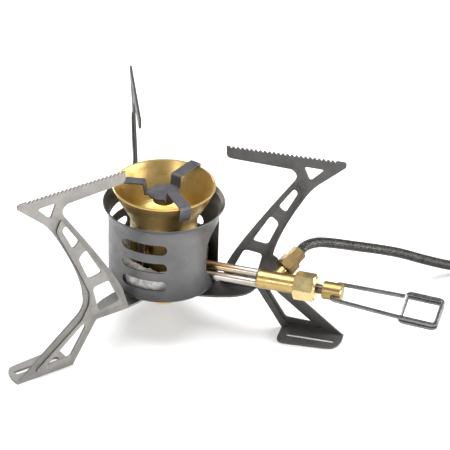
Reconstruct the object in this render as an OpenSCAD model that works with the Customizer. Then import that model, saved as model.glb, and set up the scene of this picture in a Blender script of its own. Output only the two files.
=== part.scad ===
/* [Stand] */
// Height of the pot rests above the ground (mm)
rest_h = 109; // [100:1:115]
// Thickness of the pressed leg sheet (mm)
sheet = 1.2; // [1:0.1:2]
// Distance of each leg plate from the stove axis (mm)
plate_off = 9.7; // [9:0.1:12]
// Height of the pressed panel on a leg (mm)
panel_up = 0.8; // [0.4:0.1:1]
// Direction of the right leg (degrees)
leg_r_az = -13.4; // [-20:0.1:-5]
// Direction of the left leg (degrees)
leg_l_az = -144.4; // [-160:0.1:-130]
// Direction of the back leg (degrees)
leg_b_az = 97.2; // [85:0.1:110]
// Height of the lowest leg tab (mm)
tab_z = 22.4; // [20:0.1:25]
// Step from one leg tab to the next (mm)
tab_step = 1.3; // [1.2:0.05:1.5]
// Number of teeth on one pot rest
teeth = 24; // [12:1:30]

/* [Cup] */
// Outer radius of the cup wall (mm)
cup_r = 30; // [26:0.5:34]
// Underside of the cup (mm)
cup_z = 28.2; // [26:0.1:32]
// Sheet thickness of the cup (mm)
cup_t = 0.7; // [0.5:0.1:1]

/* [Burner] */
// Radius of the bell at its rim (mm)
bell_r = 27.8; // [24:0.1:29]
// Height of the bell's rim (mm)
bell_z = 86.2; // [84:0.1:88]
// Radius of the bell's neck (mm)
neck_r = 18.2; // [17:0.1:18.6]
// Height of the underside of the bell's neck (mm)
neck_z = 58; // [56:0.1:60]
// Width of one arm of the flame spreader (mm)
arm_w = 6.2; // [5:0.1:7]
// Radius of the stem through the legs (mm)
stem_r = 4; // [3:0.1:5]

/* [Valve arm] */
// Direction of the valve arm (degrees)
arm_az = -15.9; // [-25:0.1:-10]
// Height of the valve arm's axis (mm)
arm_z = 37.5; // [35:0.1:42]
// Radius of the valve body (mm)
body_r = 5.2; // [4.5:0.1:6]
// Radius of the valve spindle (mm)
spin_r = 2.6; // [2:0.1:3]
// Radius of the wire of the handle (mm)
wire_r = 1.2; // [1:0.05:1.25]
// Droop of the wire handle (degrees)
droop = 3.4; // [0:0.1:6]

/* [Hose] */
// Radius of the hose (mm)
hose_r = 2.9; // [2.5:0.1:3.5]

/* [Hidden] */
$fn = 64;
steel = [0.55, 0.54, 0.53];
dark = [0.28, 0.28, 0.29];
brass = [0.72, 0.57, 0.30];

// points of an arc, and of a curve with one control point
function arc(c, r, a0, a1, n = 8) =
  [for (i = [0:n]) c + r * [cos(a0 + (a1 - a0) * i / n), sin(a0 + (a1 - a0) * i / n)]];
function bend(a, b, c, n = 6) =
  [for (i = [0:n]) let (t = i / n) (1 - t) * (1 - t) * a + 2 * t * (1 - t) * b + t * t * c];
// closed outline with every corner rounded over the length k
function soft(p, k = 1.5) =
  [for (i = [0:len(p) - 1])
    let (a = p[(i + len(p) - 1) % len(p)], b = p[i], c = p[(i + 1) % len(p)],
         u = b + (a - b) * min(0.45, k / norm(a - b)), v = b + (c - b) * min(0.45, k / norm(c - b)))
    each bend(u, b, v, 4)];

// a round rod of n sides along a line of points
function unit(v) = v / norm(v);
function dir(p, i) = unit(p[min(i + 1, len(p) - 1)] - p[max(i - 1, 0)]);
module sweep(p, r, n) {
  m = len(p);
  pts = [for (i = [0:m - 1]) let (s = unit(cross(dir(p, i), [0, 0, 1])), u = cross(s, dir(p, i)))
    for (j = [0:n - 1]) p[i] + r * (s * cos(360 * j / n) + u * sin(360 * j / n))];
  polyhedron(pts, concat(
    [[for (j = [0:n - 1]) j]],
    [for (i = [0:m - 2], j = [0:n - 1]) [i * n + j, (i + 1) * n + j, (i + 1) * n + (j + 1) % n, i * n + (j + 1) % n]],
    [[for (j = [n - 1:-1:0]) (m - 1) * n + j]]));
}

// ---- legs, drawn as radius and height, then stood up as a plate ----
module plate_2d(z0, lug) {
  difference() {
    polygon(concat(
      [[31.5, rest_h]],
      [for (i = [0:teeth - 1]) let (r = 33 + 2.45 * i)
        each [[r, rest_h], [r + 0.9, rest_h - 1.1], [r + 1.3, rest_h - 1.1], [r + 1.6, rest_h]]],
      bend([95, rest_h], [97.2, rest_h], [96.5, rest_h - 3], 3),
      bend([84, rest_h - 14], [78.5, 90.5], [74, 82]),
      bend([74, 82], [61.5, 60], [58.7, 45.5], 8),
      lug ? [[61.5, 43.5], [62, 42], [62, 31]] : bend([58.4, 42], [56.6, 34.5], [62.2, 30], 6),
      bend([98.6, 1.6], [100.4, 0.6], [99.8, 0], 3),
      [[65.4, 0], [50.6, 23]],
      [[49.8, z0]],
      [[29.4, z0]],
      [[33.4, 37]],
      bend([33.6, 37.4], [40.5, 52.5], [69, 93.6], 8),
      bend([69.2, 94], [71.8, 98.4], [67, 100.6], 5),
      bend([34.5, 102.1], [32, 102.2], [31.6, 104.5], 3)));
    polygon(soft([[73.8, 103.3], [85.2, 103], [77.4, 94.8]], 2));
    polygon(soft([[69, 88.6], [60.6, 76], [64.6, 72.8], [71.2, 86]], 1.8));
    polygon(soft([[56.8, 70], [61.4, 66], [55.4, 51.2], [46.8, 52.4]], 2.2));
    polygon(soft([[42.6, 46.4], [52.8, 45], [49.2, 28.8], [35.8, 31.2]], 2.4));
    polygon(soft([[58.9, 24.4], [57.4, 22.2], [67.2, 6.8], [82, 6]], 1.6));
  }
}
module panel_2d() {
  difference() {
    polygon(concat(
      soft([[71.6, 93], [74.6, 86.4], [62, 59.5], [54.6, 42], [55.2, 34.8],
        [59.8, 26.6], [88.4, 5], [87, 3.2], [67.5, 3.2], [52.8, 27.4], [33.4, 28],
        [36.6, 36.2], [45.6, 53.6]], 1.8)));
    polygon(soft([[69, 88.6], [60.6, 76], [64.6, 72.8], [71.2, 86]], 1.8));
    polygon(soft([[56.8, 70], [61.4, 66], [55.4, 51.2], [46.8, 52.4]], 2.2));
    polygon(soft([[42.6, 46.4], [52.8, 45], [49.2, 28.8], [35.8, 31.2]], 2.4));
    polygon(soft([[58.9, 24.4], [57.4, 22.2], [67.2, 6.8], [82, 6]], 1.6));
  }
}
// stands a drawing of radius and height up, from offset o0 to o0 + t
module stood(o0, t) {
  translate([0, o0 + t, 0]) rotate([90, 0, 0]) linear_extrude(t) children();
}
module leg(az, step, lug = false) {
  z0 = tab_z + tab_step * step;
  rotate([0, 0, az]) difference() {
    union() {
      stood(plate_off, sheet) plate_2d(z0, lug);
      stood(plate_off + sheet - 0.3, panel_up + 0.3) panel_2d();
      // foot flange
      linear_extrude(sheet) difference() {
        polygon(concat([[65.4, plate_off + sheet], [65.2, 0]],
          bend([65.2, -2], [65.6, -5.6], [70, -5.6], 4),
          [[92, -4.4]],
          bend([95, -4], [99, -3], [100, 5], 5),
          [[99.8, plate_off + sheet]]));
        translate([70.8, 0.8]) square([24, 3.2]);
        translate([70.8, 2.4]) circle(1.6);
        translate([94.8, 2.4]) circle(1.6);
      }
      // hub tab
      translate([0, 0, z0]) linear_extrude(sheet) {
        circle(8);
        polygon(concat([[0, -7.2], [20, -6.4], [30.6, -4.7], [38, -2.6]],
          bend([42, -0.8], [49, 3], [49.8, plate_off + sheet], 5),
          [[29.4, plate_off + sheet], [10, 8], [0, 7.2]]));
      }
    }
    // the pressed hollow behind the panel
    stood(plate_off - 1, panel_up + 1) panel_2d();
    translate([0, 0, z0 - 1]) cylinder(h = sheet + 2, r = stem_r + 0.06);
  }
}
module leg_right() {
  color(steel) leg(leg_r_az, 0, true);
}
module leg_left() {
  color(steel) leg(leg_l_az, 1);
}
module leg_back() {
  color(steel) leg(leg_b_az, 2);
}

// ---- cup ----
module slot_2d(l, r) {
  translate([-l, -r]) square([2 * l, 2 * r]);
  for (s = [-1, 1]) translate([s * l, 0]) circle(r);
}
module windscreen_cup() {
  color(steel) difference() {
    rotate_extrude($fn = 96) polygon(concat(
      [[stem_r + 1.2, cup_z]],
      arc([cup_r - 4, cup_z + 4], 4, -90, 0),
      [[cup_r, 68.5], [cup_r + 0.4, 71], [cup_r + 1.3, 73.4], [cup_r + 3.1, 75.5]],
      [[cup_r + 2.7, 76], [cup_r + 0.8, 73.9], [cup_r - 0.3, 71.3], [cup_r - cup_t, 68.7]],
      arc([cup_r - 4, cup_z + 4], 4 - cup_t, 0, -90),
      [[stem_r + 1.2, cup_z + cup_t]]));
    for (az = [-110.1, 69.9, 159.9], z = [62.6, 51.3, 40.1])
      rotate([0, 0, az]) translate([20, 0, z]) rotate([90, 0, 90])
        linear_extrude(16) slot_2d(9.9, 3);
    rotate([0, 0, arm_az]) translate([20, 0, 0]) rotate([90, 0, 90]) linear_extrude(16) {
      polygon([[-11.4, 44], [-11.4, 55.5], [11.4, 55.5], [11.4, 34], [-4, 31]]);
      translate([0, 55.5]) circle(11.4);
    }
    for (a = [30:60:330]) rotate([0, 0, a]) translate([20, 0, cup_z - 1]) cylinder(h = 3, r = 1.6);
  }
}
module priming_pad() {
  color([0.75, 0.75, 0.72]) difference() {
    rotate_extrude() polygon([[19, 29.1], [26.6, 29.1], [28.8, 32], [28.8, 44], [27, 50], [22, 50.5], [19, 46]]);
    rotate([0, 0, arm_az]) translate([10, -13, 28]) cube([30, 26, 40]);
  }
}

// ---- burner ----
module burner_base() {
  color(brass) difference() {
    union() {
      translate([0, 0, 16]) cylinder(h = 14, r = stem_r);
      translate([0, 0, cup_z + cup_t]) cylinder(h = 3.1, r = 13);
      translate([0, 0, 31]) cylinder(h = 13, r = 11.6);
      translate([0, 0, 27.1]) cylinder(h = 1.5, r = stem_r + 1.1);
    }
    translate([0, 0, 42]) cylinder(h = 3, r = 9.8);
    rotate([0, 0, arm_az]) for (s = [-1, 1])
      translate([8, s * 1.4, arm_z - s * -2.2]) rotate([0, 90, 0]) cylinder(h = 6, r = 2.4);
    translate([0, 0, 38]) cylinder(h = 6, r = 2);
  }
}
module jet() {
  color(brass) difference() {
    union() {
      translate([0, 0, 38]) cylinder(h = 5, r = 2);
      translate([0, 0, 42]) cylinder(h = 3, r = 3.4, $fn = 6);
      translate([0, 0, 45]) cylinder(h = 1.2, r = 1.8);
    }
    translate([0, 0, 37]) cylinder(h = 10, r = 0.6, $fn = 24);
  }
}
module mixing_tube() {
  color(brass) difference() {
    translate([0, 0, 44]) cylinder(h = neck_z - 44, r = 10.6);
    translate([0, 0, 43]) cylinder(h = neck_z - 42, r = 9.2);
    for (a = [45, 135]) rotate([0, 0, a]) translate([-15, -2.5, 46]) cube([30, 5, 6]);
  }
}
module burner_bell() {
  color(brass) rotate_extrude($fn = 96) polygon(concat(
    [[7, neck_z], [neck_r - 0.6, neck_z], [neck_r, neck_z + 0.6]],
    bend([neck_r, 65.4], [neck_r + 0.1, 67.6], [19.6, 69.8], 5),
    [[24.3, 78], [bell_r - 0.4, 84.8], [bell_r, 85.5], [bell_r, bell_z - 0.3], [bell_r - 0.3, bell_z],
      [bell_r - 0.8, bell_z], [bell_r - 1.1, bell_z - 0.4], [23.2, 78.4]],
    bend([18.5, 70.4], [16.8, 66.8], [13, 65.2], 5),
    [[7, 64.8]]));
}
module pillar(az) {
  rotate([0, 0, az]) translate([16.2, 0, cup_z + cup_t]) cylinder(h = neck_z - cup_z - cup_t, r = 1.9, $fn = 32);
}
module pillar_left() {
  color(brass) pillar(180);
}
module pillar_right() {
  color(brass) pillar(15);
}
// one arm of the spreader: up, out over the rim and down along the bell
module spread_arm() {
  translate([9, arm_w / 2, 0]) rotate([90, 0, 0]) linear_extrude(arm_w) polygon(concat(
    [[-1, 80.4], [-1, 81.3], [0.6, 81.3]],
    bend([1.3, 86.2], [1.5, 87.2], [2.6, 87.3], 3),
    bend([19.2, 87.3], [20.4, 87.3], [20.3, 86.2], 3),
    [[18.1, 78], [17.3, 78.2]],
    bend([19.4, 86], [19.5, 86.5], [18.9, 86.5], 3),
    bend([3, 86.5], [2.2, 86.4], [2.1, 85.6], 3),
    [[1.4, 80.4]]));
}
module flame_spreader() {
  color(dark) {
    translate([0, 0, 80.4]) cylinder(h = 0.9, r = 8.6);
    for (a = [-65, 55, 175]) rotate([0, 0, a]) spread_arm();
  }
}
module spreader_cap() {
  color(dark) difference() {
    translate([0, 0, 76.2]) cylinder(h = 4.2, r = 5.8);
    translate([0, 0, 75]) cylinder(h = 4.6, r = 5);
  }
}

// ---- hub under the cup ----
module spring_washer() {
  color(steel) difference() {
    translate([0, 0, 26.3]) cylinder(h = 0.8, r = 7);
    translate([0, 0, 26]) cylinder(h = 2, r = stem_r + 0.06);
  }
}
module bottom_nut() {
  color(brass) difference() {
    union() {
      rotate([0, -90, 0]) hex(13.4, 20.2, 7.2);
      translate([0, 0, 20.2]) cylinder(h = 2.2, r = 7.4);
    }
    translate([0, 0, 16]) cylinder(h = 7, r = stem_r);
  }
}

// ---- valve arm, X pointing outward along the arm ----
module on_arm() {
  rotate([0, 0, arm_az]) translate([0, 0, arm_z]) children();
}
module rod(x0, x1, r, n = 64) {
  translate([x0, 0, 0]) rotate([0, 90, 0]) cylinder(h = x1 - x0, r = r, $fn = n);
}
// a hexagon along X with both ends chamfered
module hex(x0, x1, r) {
  w = x1 - x0;
  intersection() {
    rod(x0, x1, r, 6);
    translate([x0, 0, 0]) rotate([0, 90, 0]) rotate_extrude()
      polygon([[0, 0], [0.86 * r, 0], [1.01 * r, 0.1 * r], [1.01 * r, w - 0.1 * r], [0.86 * r, w], [0, w]]);
  }
}
// frame of the hose fitting, Z pointing along it
module on_inlet() {
  on_arm() translate([62.4, 0, 0]) rotate([0, 63.1, 61.7]) children();
}
module vapour_tube() {
  color(steel) on_arm() translate([0, 1.4, 2.2]) difference() {
    rod(8, 54, 2.4);
    rod(7, 55, 1.6);
  }
}
module feed_tube() {
  color(steel) on_arm() translate([0, -1.4, -2.2]) difference() {
    rod(8, 54, 2.4);
    rod(7, 55, 1.6);
  }
}
module valve_body() {
  color(brass) difference() {
    union() {
      on_arm() translate([53.2, 0, 0]) rotate([0, 90, 0]) rotate_extrude()
        polygon([[0, 0], [body_r - 0.9, 0], [body_r - 0.25, 0.4], [body_r, 1.1], [body_r, 21.2], [0, 21.2]]);
      on_arm() rod(74.4, 78.4, 4.2);
      on_inlet() translate([0, 0, 3]) cylinder(h = 5.8, r = 3.3);
    }
    on_arm() for (s = [-1, 1]) translate([0, s * 1.4, s * 2.2]) rod(52, 54, 2.4);
    on_arm() rod(60, 79, spin_r + 0.05);
    on_inlet() cylinder(h = 14, r = 1.2);
  }
}
module gland_nut() {
  color(brass) difference() {
    on_arm() union() {
      rotate([20, 0, 0]) hex(74.5, 85.8, 7.9);
      rod(85.8, 86.6, 6.4);
    }
    on_arm() rod(73, 78.4, 4.2);
    on_arm() rod(76, 88, spin_r + 0.05);
    on_arm() rod(79.4, 82.4, 4);
  }
}
module gland_packing() {
  color(dark) difference() {
    on_arm() rod(79.4, 82.4, 4);
    on_arm() rod(79, 83, spin_r + 0.05);
  }
}
module spindle() {
  color(dark) on_arm() {
    rod(63, 92.8, spin_r);
    rod(61, 63, 1.2);
  }
}
module collar_blank() {
  translate([90, 0, 0]) rotate([0, 90, 0]) rotate_extrude()
    polygon([[0, 0], [4.4, 0], [4.9, 0.5], [4.9, 10.2], [4.4, 10.8], [0, 10.8]]);
}
module spindle_collar() {
  color(brass) difference() {
    on_arm() collar_blank();
    on_arm() rod(89, 92.8, spin_r);
    on_hinge() rotate([90, 0, 0]) translate([0, 0, -7]) cylinder(h = 14, r = wire_r + 0.05);
  }
}
// frame of the handle: X outward, Y along the cross hole
module on_hinge() {
  on_arm() translate([96.4, 0, 0]) rotate([7, 0, 0]) children();
}
module handle_wire() {
  u = wire_r + 0.08;
  color(steel) on_hinge() rotate([0, droop, 0]) sweep(concat(
    [[0, -2.4, 0]],
    bend([0, -5.2, 0], [0, -6.7, 0], [1.6, -7, 0], 3),
    [[36, -10.3, u]],
    bend([55, -10.5, u], [57.5, -10.5, u], [57.5, -8, u], 4),
    bend([57.5, 8, u], [57.5, 10.5, u], [55, 10.5, u], 4),
    bend([40.7, 10.5, u], [38.2, 10.5, u], [38.2, 8, u], 4),
    bend([38.2, -8, -u], [38.2, -10.5, -u], [40.7, -10.5, -u], 4),
    bend([55, -10.5, -u], [57.5, -10.5, -u], [57.5, -8, -u], 4),
    bend([57.5, 8, -u], [57.5, 10.5, -u], [55, 10.5, -u], 4),
    [[36, 10.3, -u]],
    bend([1.6, 7, 0], [0, 6.7, 0], [0, 5.2, 0], 3),
    [[0, 2.4, 0]]), wire_r, 10);
}
module inlet_nut() {
  color(brass) on_inlet() difference() {
    rotate([0, -90, 0]) hex(8.8, 16.2, 5.6);
    translate([0, 0, 8]) cylinder(h = 9, r = 1.6);
  }
}
module hose_ferrule() {
  color(brass) on_inlet() difference() {
    rotate([0, -90, 0]) hex(16.2, 22.6, 4.3);
    translate([0, 0, 16]) cylinder(h = 8, r = 1.6);
  }
}

// ---- hose and canister connector ----
route = [[74.1, -2.6, 47.7], [77.4, 0.8, 49.3], [84, 7.6, 47.4], [93, 15, 42.6], [104, 23, 36.4], [118, 32, 29.2],
  [132, 40, 22], [147, 47.5, 13.4], [163, 54, 6], [182, 58, 2.9], [204, 57, 2.9], [222, 46, 2.9],
  [230, 27, 3.4], [228, 6, 6.5], [225.4, -14, 10.4], [225, -28, 11.5], [225, -36, 11.5]];
function along(i, t) = let (n = len(route) - 1, a = route[max(i - 1, 0)], b = route[i], c = route[i + 1],
  d = route[min(i + 2, n)]) 0.5 * (2 * b + (c - a) * t + (2 * a - 5 * b + 4 * c - d) * t * t
  + (3 * b - 3 * c + d - a) * t * t * t);
line = concat([for (i = [0:len(route) - 2], k = [0:1]) along(i, k / 2)], [route[len(route) - 1]]);
module hose() {
  color(dark) sweep(line, hose_r, 12);
}
// frame of the connector, X pointing away from the hose
module on_plug() {
  translate([225, -36, 11.5]) rotate([0, 0, -90]) children();
}
module end_ferrule() {
  color(brass) on_plug() difference() {
    hex(0, 9, 4.3);
    rod(-1, 10, 1.6);
  }
}
module plug_body() {
  color(brass) on_plug() difference() {
    union() {
      rod(9, 16, 6.5);
      hex(16, 20, 10.5);
      rod(20, 38, 9);
    }
    rod(30, 39, 5.4);
    rod(26.5, 31, 4.9);
    rod(8, 28, 1.6);
  }
}
module plug_ring() {
  color(steel) on_plug() difference() {
    rod(20.4, 35, 11.5);
    rod(20, 36, 9.06);
    for (a = [0:20:340]) rotate([a + 10, 0, 0]) translate([0, 0, 11.7]) rod(19, 33, 0.7, 12);
  }
}
module plug_pin() {
  color(brass) on_plug() {
    rod(24, 29.4, 1.6, 24);
  }
}
module plug_seal() {
  color([0.1, 0.1, 0.1]) on_plug() translate([27.6, 0, 0]) rotate([0, 90, 0])
    rotate_extrude() translate([3.6, 0]) circle(1.1, $fn = 16);
}

windscreen_cup();
priming_pad();
burner_base();
jet();
mixing_tube();
burner_bell();
pillar_left();
pillar_right();
flame_spreader();
spreader_cap();
spring_washer();
bottom_nut();
leg_right();
leg_left();
leg_back();
vapour_tube();
feed_tube();
valve_body();
gland_nut();
gland_packing();
spindle();
spindle_collar();
handle_wire();
inlet_nut();
hose_ferrule();
hose();
end_ferrule();
plug_body();
plug_ring();
plug_pin();
plug_seal();
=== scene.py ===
import math
import bpy
import numpy as np
from mathutils import Matrix, Vector, noise


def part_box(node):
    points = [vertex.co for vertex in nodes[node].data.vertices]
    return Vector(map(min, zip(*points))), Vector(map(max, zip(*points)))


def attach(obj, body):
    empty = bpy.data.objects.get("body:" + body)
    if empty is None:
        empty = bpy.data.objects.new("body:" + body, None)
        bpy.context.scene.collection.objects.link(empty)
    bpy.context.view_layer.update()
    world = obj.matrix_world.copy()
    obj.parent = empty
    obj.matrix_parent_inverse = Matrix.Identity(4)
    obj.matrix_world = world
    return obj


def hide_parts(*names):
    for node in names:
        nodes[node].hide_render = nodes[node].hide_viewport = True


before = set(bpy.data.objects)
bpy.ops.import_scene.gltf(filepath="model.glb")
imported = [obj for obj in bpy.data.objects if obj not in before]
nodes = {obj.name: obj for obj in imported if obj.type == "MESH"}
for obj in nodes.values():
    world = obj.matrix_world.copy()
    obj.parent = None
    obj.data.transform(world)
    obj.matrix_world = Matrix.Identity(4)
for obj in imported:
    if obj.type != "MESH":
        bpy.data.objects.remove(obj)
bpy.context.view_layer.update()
MM = 0.001
ARM_AZ = math.radians(-15.9)  # plan direction of the valve arm

# ---------------------------------------------------------------- camera
CAM_PITCH, CAM_ROLL = math.radians(30.94), math.radians(1.39)
CAM_PLACE = (0.03309, -1.11748, 0.73146)
CAM_LENS, CAM_SENSOR, CAM_NEAR = 192.8, 36, 0.05

look = Vector((0, math.cos(CAM_PITCH), -math.sin(CAM_PITCH)))
right = Vector((1, 0, 0))
up = right.cross(look)
cam_x = math.cos(CAM_ROLL) * right + math.sin(CAM_ROLL) * up
cam_y = -math.sin(CAM_ROLL) * right + math.cos(CAM_ROLL) * up
cam_data = bpy.data.cameras.new("camera")
cam_data.lens = CAM_LENS
cam_data.sensor_width = CAM_SENSOR
cam_data.clip_start = CAM_NEAR
cam = bpy.data.objects.new("camera", cam_data)
bpy.context.collection.objects.link(cam)
cam_pose = Matrix((cam_x, cam_y, -look)).transposed().to_4x4()
cam_pose.translation = Vector(CAM_PLACE)
cam.matrix_world = cam_pose
bpy.context.scene.camera = cam


# ---------------------------------------------------------------- helpers
def link(ob):
    bpy.context.collection.objects.link(ob)
    return ob


def mesh_object(name, verts, faces):
    """A smooth-shaded mesh object."""
    me = bpy.data.meshes.new(name)
    me.from_pydata([tuple(v) for v in verts], [], [tuple(f) for f in faces])
    me.validate()
    me.polygons.foreach_set("use_smooth", [True] * len(me.polygons))
    me.update()
    return link(bpy.data.objects.new(name, me))


def smooth_line(points, per):
    """A Catmull-Rom line through points, with per steps to each stretch."""
    p = np.array(points, float)
    last = len(p) - 1
    out = []
    for i in range(last):
        before, start, end, after = p[max(i - 1, 0)], p[i], p[i + 1], p[min(i + 2, last)]
        for k in range(per):
            t = k / per
            out.append(0.5 * (2 * start + (end - before) * t
                              + (2 * before - 5 * start + 4 * end - after) * t * t
                              + (3 * start - 3 * end + after - before) * t ** 3))
    out.append(p[-1])
    return np.array(out)


def resample(points, step):
    """The same line with even spacing, and the distance along it."""
    steps = np.linalg.norm(np.diff(points, axis=0), axis=1)
    along = np.concatenate([[0], np.cumsum(steps)])
    count = max(2, int(round(along[-1] / step)))
    even = np.linspace(0, along[-1], count + 1)
    return np.stack([np.interp(even, along, points[:, k]) for k in range(3)], 1), even


def side_and_top(points):
    """Two directions square to a line at each of its points, without twist."""
    tangent = np.gradient(points, axis=0)
    tangent /= np.linalg.norm(tangent, axis=1)[:, None]
    side = np.zeros_like(tangent)
    v = np.cross(tangent[0], [0, 0, 1.0])
    side[0] = v / np.linalg.norm(v)
    for i in range(1, len(points)):
        v = side[i - 1] - tangent[i] * np.dot(side[i - 1], tangent[i])
        side[i] = v / np.linalg.norm(v)
    return side, np.cross(side, tangent)


# ---------------------------------------------------------------- hose
# The route is the one in the part's source, in millimetres.
ROUTE = [[74.1, -2.6, 47.7], [77.4, 0.8, 49.3], [84, 7.6, 47.4], [93, 15, 42.6], [104, 23, 36.4],
         [118, 32, 29.2], [132, 40, 22], [147, 47.5, 13.4], [163, 54, 6], [182, 58, 2.9], [204, 57, 2.9],
         [222, 46, 2.9], [230, 27, 3.4], [228, 6, 6.5], [225.4, -14, 10.4], [225, -28, 11.5], [225, -36, 11.5]]
HOSE_R = 2.9 * MM
CORE_R, CORE_SIDES = 0.86 * HOSE_R, 16
BRAID_R, BRAID_WEAVE = 0.94 * HOSE_R, 0.11 * MM
CARRIERS, BRAID_PITCH = 12, 14.4 * MM
# one bundle of wires: how far across it each of its lines lies, and how high
BUNDLE_ACROSS = np.array([-0.62, -0.36, 0, 0.36, 0.62]) * MM
BUNDLE_CROWN = np.array([-0.2, -0.02, 0.06, -0.02, -0.2]) * MM

line = smooth_line(np.array(ROUTE) * MM, 12)
path, dist = resample(line, 0.4 * MM)


def braided_hose(name):
    """A core tube under crowned bundles of wire that cross over and under each other."""
    side, top = side_and_top(path)
    rows = len(path)
    verts, faces = [], []

    def around(angle):
        return side[:, None] * np.cos(angle)[..., None] + top[:, None] * np.sin(angle)[..., None]

    def add_strip(block, closed):
        base = len(verts)
        width = block.shape[1]
        verts.extend(block.reshape(-1, 3))
        for i in range(rows - 1):
            here, there = base + i * width, base + (i + 1) * width
            for j in range(width if closed else width - 1):
                k = (j + 1) % width
                faces.append((here + j, here + k, there + k, there + j))

    angles = np.linspace(0, 2 * np.pi, CORE_SIDES, endpoint=False)
    add_strip(path[:, None] + around(angles[None, :]) * CORE_R, True)
    turn = 2 * np.pi * dist / BRAID_PITCH
    for hand in (1, -1):
        for carrier in range(CARRIERS):
            phase = 2 * np.pi * carrier / CARRIERS
            over_under = hand * (-1) ** carrier * np.cos(CARRIERS * (turn + hand * phase / 2))
            radius = (BRAID_R + BRAID_WEAVE * over_under)[:, None] + BUNDLE_CROWN[None, :]
            angle = (hand * turn + phase)[:, None] + (BUNDLE_ACROSS / HOSE_R)[None, :]
            add_strip(path[:, None] + radius[..., None] * around(angle), False)
    return mesh_object(name, verts, faces)


hose = braided_hose("hose_braid")
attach(hose, "stove")
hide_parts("hose")


# ---------------------------------------------------------------- materials
class Mat:
    """A node material around one Principled shader."""

    def __init__(self, name, metallic=0.0):
        self.m = bpy.data.materials.new(name)
        self.m.use_nodes = True
        self.nt = self.m.node_tree
        self.p = self.nt.nodes["Principled BSDF"]
        self.p.inputs["Metallic"].default_value = metallic
        self.tc = self.nt.nodes.new("ShaderNodeTexCoord")
        self.bump_in = None

    def node(self, kind, **settings):
        n = self.nt.nodes.new(kind)
        for k, v in settings.items():
            setattr(n, k, v)
        return n

    def wire(self, a, b):
        self.nt.links.new(a, b)

    def stretched(self, scale, rot=(0, 0, 0)):
        """Object coordinates, turned and scaled."""
        mapping = self.node("ShaderNodeMapping")
        mapping.inputs["Scale"].default_value = scale
        mapping.inputs["Rotation"].default_value = rot
        self.wire(self.tc.outputs["Object"], mapping.inputs["Vector"])
        return mapping.outputs["Vector"]

    def noise(self, scale, detail=4, rough=0.55, vec=None):
        n = self.node("ShaderNodeTexNoise")
        n.inputs["Scale"].default_value = scale
        n.inputs["Detail"].default_value = detail
        n.inputs["Roughness"].default_value = rough
        self.wire(vec if vec is not None else self.tc.outputs["Object"], n.inputs["Vector"])
        return n.outputs["Fac"]

    def ramp(self, fac, stops):
        r = self.node("ShaderNodeValToRGB")
        elements = r.color_ramp.elements
        for element, (position, color) in zip(elements, (stops[0], stops[-1])):
            element.position, element.color = position, (*color, 1)
        for position, color in stops[1:-1]:
            elements.new(position).color = (*color, 1)
        self.wire(fac, r.inputs["Fac"])
        return r.outputs["Color"]

    def span(self, fac, from_min, from_max, to_min, to_max):
        n = self.node("ShaderNodeMapRange")
        values = (from_min, from_max, to_min, to_max)
        for k, v in zip(("From Min", "From Max", "To Min", "To Max"), values):
            n.inputs[k].default_value = v
        self.wire(fac, n.inputs["Value"])
        return n.outputs["Result"]

    def mix(self, fac, a, b):
        n = self.node("ShaderNodeMix", data_type="RGBA")
        # sockets 0, 6 and 7 are the factor and the two colours
        for sock, v in ((n.inputs[0], fac), (n.inputs[6], a), (n.inputs[7], b)):
            if isinstance(v, (int, float)):
                sock.default_value = v
            elif isinstance(v, tuple):
                sock.default_value = (*v, 1)
            else:
                self.wire(v, sock)
        return n.outputs[2]

    def math(self, op, a, b=0.0):
        n = self.node("ShaderNodeMath", operation=op)
        for sock, v in zip(n.inputs, (a, b)):
            if isinstance(v, (int, float)):
                sock.default_value = v
            else:
                self.wire(v, sock)
        return n.outputs[0]

    def parts(self, vec):
        s = self.node("ShaderNodeSeparateXYZ")
        self.wire(vec, s.inputs[0])
        return s.outputs

    def xyz(self):
        return self.parts(self.tc.outputs["Object"])

    def color(self, sock):
        self.wire(sock, self.p.inputs["Base Color"])

    def rough(self, scale, low, high, detail=4):
        """Roughness that wanders between low and high."""
        self.wire(self.span(self.noise(scale, detail), 0.3, 0.7, low, high), self.p.inputs["Roughness"])

    def rough_by(self, fac, low, high):
        self.wire(self.span(fac, 0.3, 0.7, low, high), self.p.inputs["Roughness"])

    def bump(self, height, strength, dist):
        b = self.node("ShaderNodeBump")
        b.inputs["Strength"].default_value = strength
        b.inputs["Distance"].default_value = dist
        self.wire(height, b.inputs["Height"])
        if self.bump_in is not None:
            self.wire(self.bump_in, b.inputs["Normal"])
        self.bump_in = b.outputs["Normal"]
        self.wire(self.bump_in, self.p.inputs["Normal"])


def blasted_steel(name, dark, light, rough):
    """Pressed sheet steel, bead blasted: fine grain, faint clouds, bright edges."""
    m = Mat(name, metallic=1.0)
    fine = m.noise(4500, 2, 0.6)
    col = m.ramp(m.noise(70, 5, 0.6), [(0.3, dark), (0.7, light)])
    speckle = m.ramp(fine, [(0.35, tuple(v * 0.7 for v in dark)), (0.65, light)])
    col = m.mix(0.25, col, speckle)
    geo = m.node("ShaderNodeNewGeometry")
    edge = m.span(geo.outputs["Pointiness"], 0.52, 0.6, 0, 0.5)
    m.color(m.mix(edge, col, tuple(min(1, v * 1.35) for v in light)))
    m.rough(260, *rough)
    m.bump(fine, 0.25, 0.00006)
    return m.m


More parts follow.
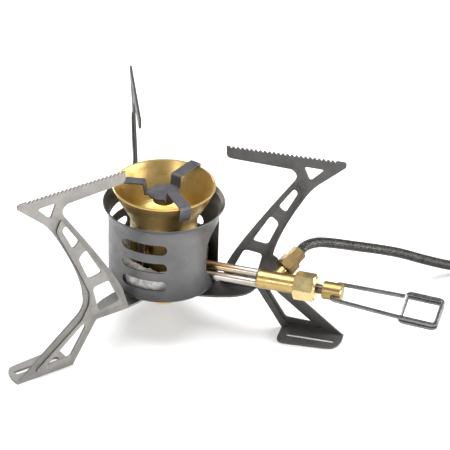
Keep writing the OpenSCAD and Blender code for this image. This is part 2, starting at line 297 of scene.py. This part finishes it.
def turned_brass(name, dark, light, rough, stain=0.35, rings_across=None):
    """Brass with faint tarnish, and with fine tool rings across an axis where one is given."""
    m = Mat(name, metallic=1.0)
    col = m.ramp(m.noise(90, 6, 0.6), [(0.25, dark), (0.75, light)])
    spots = m.span(m.noise(420, 3, 0.6), 0.56, 0.72, 0, stain)
    m.color(m.mix(spots, col, tuple(v * 0.55 for v in dark)))
    m.rough(300, *rough)
    if rings_across is None:
        m.bump(m.noise(2600, 2), 0.12, 0.00005)
    else:
        scale = [40.0, 40.0, 40.0]
        scale[rings_across] = 5400.0
        m.bump(m.noise(1.0, 2, 0.5, m.stretched(tuple(scale))), 0.25, 0.00004)
    return m.m


def cup_material():
    """Dull steel, darker towards the bottom outside with painted shade, and browned by heat inside."""
    m = Mat("cup_steel_mat", metallic=0.9)
    x, y, z = m.xyz()
    cloud = m.noise(45, 6, 0.6)
    out = m.ramp(cloud, [(0.3, (0.115, 0.115, 0.116)), (0.7, (0.168, 0.166, 0.166))])
    warm = m.ramp(m.noise(60, 6, 0.65), [(0.3, (0.085, 0.077, 0.066)), (0.7, (0.16, 0.145, 0.125))])
    # the surface faces inward where its normal points at the upright axis
    normal = m.parts(m.node("ShaderNodeNewGeometry").outputs["Normal"])
    outward = m.math("ADD", m.math("MULTIPLY", x, normal[0]), m.math("MULTIPLY", y, normal[1]))
    inside = m.span(outward, -0.004, 0.004, 1, 0)
    # painted shade: the outside darkens towards the bottom, where the rounded base gets less light
    painted_foot_shade = m.span(m.math("ADD", z, m.math("MULTIPLY", cloud, 0.006)), 0.030, 0.056, 0.85, 0)
    out = m.mix(painted_foot_shade, out, (0.034, 0.034, 0.036))
    m.color(m.mix(inside, out, warm))
    m.rough(220, 0.36, 0.5)
    m.bump(m.noise(3800, 2), 0.2, 0.00005)
    return m.m


def bell_material():
    """Spun brass with fine lines round the upright axis."""
    m = Mat("bell_brass_mat", metallic=1.0)
    x, y, z = m.xyz()
    angle = m.math("ARCTAN2", y, x)
    radius = m.math("SQRT", m.math("ADD", m.math("MULTIPLY", x, x), m.math("MULTIPLY", y, y)))
    round_axis = m.node("ShaderNodeCombineXYZ")
    for sock, value, scale in zip(round_axis.inputs, (angle, radius, z), (2.0, 900.0, 900.0)):
        m.wire(m.math("MULTIPLY", value, scale), sock)
    lines = m.noise(3.0, 4, 0.6, round_axis.outputs[0])
    col = m.ramp(m.noise(55, 5, 0.6), [(0.3, (0.54, 0.37, 0.12)), (0.7, (0.76, 0.56, 0.23))])
    m.color(m.mix(m.span(lines, 0.3, 0.7, 0, 0.35), col, (0.42, 0.29, 0.11)))
    m.rough_by(lines, 0.33, 0.46)
    m.bump(lines, 0.1, 0.00003)
    return m.m


def spreader_material():
    """Heat-darkened steel with bright scuffs."""
    m = Mat("spreader_steel_mat", metallic=0.9)
    col = m.ramp(m.noise(140, 6, 0.65), [(0.3, (0.085, 0.085, 0.095)), (0.7, (0.17, 0.17, 0.185))])
    scratch = m.noise(1.0, 3, 0.6, m.stretched((250, 5200, 900), rot=(0.2, 0.3, 0.5)))
    m.color(m.mix(m.span(scratch, 0.6, 0.72, 0, 0.6), col, (0.42, 0.42, 0.43)))
    m.rough(400, 0.35, 0.6)
    m.bump(m.noise(3000, 2), 0.25, 0.00006)
    return m.m


def tube_material(name, hot):
    """Polished steel, tinted brown and straw by heat towards the burner."""
    m = Mat(name, metallic=1.0)
    x, y, _ = m.xyz()
    along = m.math("ADD", m.math("MULTIPLY", x, math.cos(ARM_AZ)), m.math("MULTIPLY", y, math.sin(ARM_AZ)))
    along = m.math("ADD", along, m.math("MULTIPLY", m.noise(160, 3), 0.008))
    brown = tuple(hot * v + (1 - hot) * 0.4 for v in (0.30, 0.17, 0.06))
    straw = tuple(hot * v + (1 - hot) * 0.5 for v in (0.46, 0.33, 0.18))
    m.color(m.ramp(m.span(along, 0.028, 0.062, 0, 1),
                   [(0.0, brown), (0.35, straw), (0.7, (0.40, 0.36, 0.31)), (1.0, (0.42, 0.40, 0.37))]))
    m.rough(500, 0.26, 0.38, detail=3)
    m.bump(m.noise(2400, 2), 0.05, 0.00002)
    return m.m


def drawn_metal(name, dark, light, rough):
    """Smooth drawn or turned metal with a slight wander in tone."""
    m = Mat(name, metallic=1.0)
    m.color(m.ramp(m.noise(180), [(0.3, dark), (0.7, light)]))
    m.rough(600, *rough, detail=3)
    m.bump(m.noise(2500, 2), 0.1, 0.00004)
    return m.m


def braid_material():
    """Dark, shiny wire of the hose's braid."""
    m = Mat("braid_mat", metallic=1.0)
    m.color(m.ramp(m.noise(420), [(0.3, (0.034, 0.033, 0.031)), (0.7, (0.075, 0.073, 0.069))]))
    m.rough(900, 0.22, 0.34, detail=3)
    m.bump(m.noise(4000, 2), 0.1, 0.00004)
    return m.m


def rubber_material():
    m = Mat("seal_rubber_mat")
    m.color(m.ramp(m.noise(200, 5), [(0.3, (0.015, 0.015, 0.015)), (0.7, (0.03, 0.03, 0.03))]))
    m.rough(300, 0.52, 0.68, detail=3)
    m.bump(m.noise(1500, 3), 0.3, 0.0001)
    return m.m


def pad_material():
    """Pressed mineral fibre: mottled white and grey, with fine strands."""
    m = Mat("pad_fibre_mat")
    clumps = m.noise(330, 6, 0.7)
    strands = m.noise(1.0, 4, 0.65, m.stretched((2600, 900, 2100), rot=(0.4, 0.7, 0.2)))
    col = m.ramp(clumps, [(0.3, (0.20, 0.19, 0.175)), (0.5, (0.46, 0.45, 0.43)), (0.72, (0.74, 0.73, 0.71))])
    m.color(m.mix(m.span(strands, 0.5, 0.68, 0, 0.55), col, (0.82, 0.81, 0.79)))
    m.rough_by(strands, 0.82, 0.98)
    m.bump(clumps, 0.8, 0.0004)
    m.bump(strands, 0.5, 0.00015)
    return m.m


def floor_material():
    m = Mat("floor_mat")
    m.color(m.ramp(m.noise(3, 2), [(0.3, (0.90, 0.90, 0.90)), (0.7, (0.92, 0.92, 0.92))]))
    m.p.inputs["Roughness"].default_value = 0.9
    m.p.inputs["Specular IOR Level"].default_value = 0.1
    return m.m


# ---------------------------------------------------------------- looks of the CAD nodes
EDGE_WIDTH = 0.22 * MM
EDGE_ANGLE = math.radians(28)
BEVELLED = ("gland_nut", "inlet_nut", "hose_ferrule", "end_ferrule", "bottom_nut", "plug_body")


def round_edges(node):
    """A small bevel on the sharp edges, so that they catch the light as real ones do."""
    mod = nodes[node].modifiers.new("edge", "BEVEL")
    mod.width = EDGE_WIDTH
    mod.segments = 2
    mod.limit_method = "ANGLE"
    mod.angle_limit = EDGE_ANGLE


def give(material, *names):
    """Put a material on every slot of the named nodes."""
    for name in names:
        ob = nodes[name]
        if not ob.data.materials:
            ob.data.materials.append(material)
        for slot in ob.material_slots:
            slot.material = material


for name in BEVELLED:
    round_edges(name)

# the legs are one steel; the right and back legs take a darker copy of it, painted shade, and the left leg,
# which stands in the light, keeps the paler one
give(blasted_steel("leg_steel_mat", dark=(0.17, 0.165, 0.157), light=(0.25, 0.242, 0.23), rough=(0.58, 0.72)),
     "leg_left", "spring_washer")
# darker copy of the leg steel: painted shade on the right and back legs
give(blasted_steel("leg_steel_painted_shade_mat", dark=(0.072, 0.07, 0.067), light=(0.115, 0.111, 0.107),
                   rough=(0.5, 0.66)), "leg_back", "leg_right")
give(cup_material(), "windscreen_cup")
give(bell_material(), "burner_bell")
give(turned_brass("burner_brass_mat", dark=(0.34, 0.24, 0.09), light=(0.52, 0.38, 0.16), rough=(0.28, 0.45),
                  rings_across=2), "burner_base", "mixing_tube", "pillar_left", "pillar_right")
give(turned_brass("nut_brass_mat", dark=(0.62, 0.47, 0.20), light=(0.80, 0.64, 0.33), rough=(0.24, 0.38),
                  stain=0.15), "jet", "bottom_nut", "gland_nut", "plug_pin")
give(turned_brass("collar_brass_mat", dark=(0.27, 0.19, 0.07), light=(0.38, 0.28, 0.12), rough=(0.28, 0.42)),
     "spindle_collar")
give(turned_brass("valve_brass_mat", dark=(0.40, 0.27, 0.10), light=(0.56, 0.41, 0.18), rough=(0.26, 0.42)),
     "valve_body", "plug_body")
give(turned_brass("fitting_brass_mat", dark=(0.12, 0.079, 0.033), light=(0.20, 0.14, 0.062),
                  rough=(0.34, 0.5)), "inlet_nut", "hose_ferrule", "end_ferrule")
give(spreader_material(), "flame_spreader", "spreader_cap")
give(tube_material("vapour_tube_mat", hot=0.9), "vapour_tube")
give(tube_material("feed_tube_mat", hot=0.25), "feed_tube")
give(drawn_metal("wire_steel_mat", dark=(0.13, 0.127, 0.122), light=(0.23, 0.225, 0.22), rough=(0.18, 0.3)),
     "handle_wire")
give(drawn_metal("spindle_steel_mat", dark=(0.05, 0.042, 0.038), light=(0.12, 0.10, 0.09), rough=(0.25, 0.4)),
     "spindle")
give(drawn_metal("grip_alu_mat", dark=(0.45, 0.45, 0.47), light=(0.6, 0.6, 0.62), rough=(0.28, 0.4)),
     "plug_ring")
give(rubber_material(), "gland_packing", "plug_seal")
hose.data.materials.append(braid_material())


# ---------------------------------------------------------------- priming pad
PAD_WALL = 9.4 * MM
PAD_HALF_GAP = math.radians(38)
PAD_STEPS, PAD_RING = 220, 40
PAD_END_SHARE = 26  # the ends round off over the strip's length divided by this
TEAR_AZ = math.radians(165)  # where the torn top is highest
TEAR_LEAST, TEAR_DEPTH = 1.0 * MM, 6.0 * MM
PAD_SQUARENESS = 0.62  # 1 is an ellipse, and less is squarer
PAD_LEAN = 0.36 * MM
LUMP = 0.75 * MM
LUMP_OCTAVES = ((240, 1.0), (620, 0.5), (1500, 0.3))  # per metre, and share


def squared(value):
    return math.copysign(abs(value) ** PAD_SQUARENESS, value)


def fibre_pad(name):
    """A thick strip of fibre bent round inside the cup, with a torn, uneven top edge."""
    low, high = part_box("priming_pad")
    floor_z, top_z, outer_r = low[2], high[2], -low[0]
    inner_r = outer_r - PAD_WALL
    verts, faces = [], []
    for i in range(PAD_STEPS + 1):
        t = i / PAD_STEPS
        az = ARM_AZ + PAD_HALF_GAP + t * (2 * math.pi - 2 * PAD_HALF_GAP)
        end = min(1.0, min(t, 1 - t) * PAD_END_SHARE)
        end = math.sqrt(max(0.0, 1 - (1 - end) ** 2))
        low_share = 0.5 - 0.5 * math.cos(az - TEAR_AZ)
        top = top_z - TEAR_LEAST - TEAR_DEPTH * low_share
        mid_r, half_r = (inner_r + outer_r) / 2, (outer_r - inner_r) / 2 * (0.35 + 0.65 * end)
        mid_z, half_z = (floor_z + top) / 2, (top - floor_z) / 2 * (0.55 + 0.45 * end)
        for j in range(PAD_RING):
            turn = 2 * math.pi * j / PAD_RING
            u, w = squared(math.cos(turn)), squared(math.sin(turn))
            lean = PAD_LEAN * (w - 1) if u > 0 else 0
            r = mid_r + half_r * u * (1 - 0.12 * max(0, w)) + lean
            z = mid_z + half_z * w
            spot = Vector((r * math.cos(az), r * math.sin(az), z))
            lump = sum(share * noise.noise(spot * scale) for scale, share in LUMP_OCTAVES)
            out = LUMP * (lump - 1)
            r += out * u * 0.9
            z += out * w * (1.2 if w > 0 else 0.1)
            verts.append((r * math.cos(az), r * math.sin(az), max(z, floor_z)))
    for i in range(PAD_STEPS):
        here, there = i * PAD_RING, (i + 1) * PAD_RING
        for j in range(PAD_RING):
            k = (j + 1) % PAD_RING
            faces.append((here + j, here + k, there + k, there + j))
    faces.append(tuple(range(PAD_RING - 1, -1, -1)))
    faces.append(tuple(PAD_STEPS * PAD_RING + j for j in range(PAD_RING)))
    return mesh_object(name, verts, faces)


pad = fibre_pad("priming_pad_fibre")
pad.data.materials.append(pad_material())
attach(pad, "stove")
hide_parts("priming_pad")

# ---------------------------------------------------------------- stage and light
FLOOR_SIZE, FLOOR_Z = 20, -0.0002  # just under the feet
WORLD_STRENGTH = 0.45
WORLD_LOW, WORLD_HIGH = (0.95, 0.95, 0.95), (0.85, 0.87, 0.9)
WHITE = (1, 1, 1)
# name: place, aim, size, watts, colour
LIGHTS = {
    "key": ((0.95, -0.36, 0.17), (-0.03, -0.02, 0.05), (0.5, 0.3), 11, (1.0, 0.975, 0.95)),
    "side": ((0.9, 0.34, 0.2), (0.0, 0, 0.08), (0.3, 0.24), 4, WHITE),
    "top": ((0.05, 0.05, 1.15), (0.03, 0, 0.05), (1.1, 0.9), 17, WHITE),
    "back": ((-0.55, 0.75, 0.27), (0.0, 0, 0.085), (0.4, 0.24), 6, WHITE),
    "front": ((-0.5, -0.85, 0.4), (0.08, -0.03, 0.04), (0.3, 0.25), 2.2, WHITE),
}


def soft_world():
    """A pale sky that fades a little towards the top."""
    world = bpy.data.worlds.new("world")
    bpy.context.scene.world = world
    world.use_nodes = True
    tree = world.node_tree
    background = tree.nodes["Background"]
    coords = tree.nodes.new("ShaderNodeTexCoord")
    split = tree.nodes.new("ShaderNodeSeparateXYZ")
    fade = tree.nodes.new("ShaderNodeValToRGB")
    tree.links.new(coords.outputs["Generated"], split.inputs[0])
    tree.links.new(split.outputs[2], fade.inputs["Fac"])
    for element, position, color in zip(fade.color_ramp.elements, (0.0, 1.0), (WORLD_LOW, WORLD_HIGH)):
        element.position, element.color = position, (*color, 1)
    tree.links.new(fade.outputs["Color"], background.inputs["Color"])
    background.inputs["Strength"].default_value = WORLD_STRENGTH


def area_light(name, place, aim, size, watts, color):
    data = bpy.data.lights.new(name, "AREA")
    data.shape, data.size, data.size_y = "RECTANGLE", size[0], size[1]
    data.energy, data.color = watts, color
    ob = link(bpy.data.objects.new(name, data))
    ob.location = place
    ob.rotation_euler = (Vector(aim) - Vector(place)).to_track_quat("-Z", "Y").to_euler()


bpy.ops.mesh.primitive_plane_add(size=FLOOR_SIZE, location=(0, 0, FLOOR_Z))
floor = bpy.context.object
floor.name = "floor"
floor.data.materials.append(floor_material())
soft_world()
for name, settings in LIGHTS.items():
    area_light(name, *settings)
bpy.context.scene.view_settings.view_transform = "Standard"
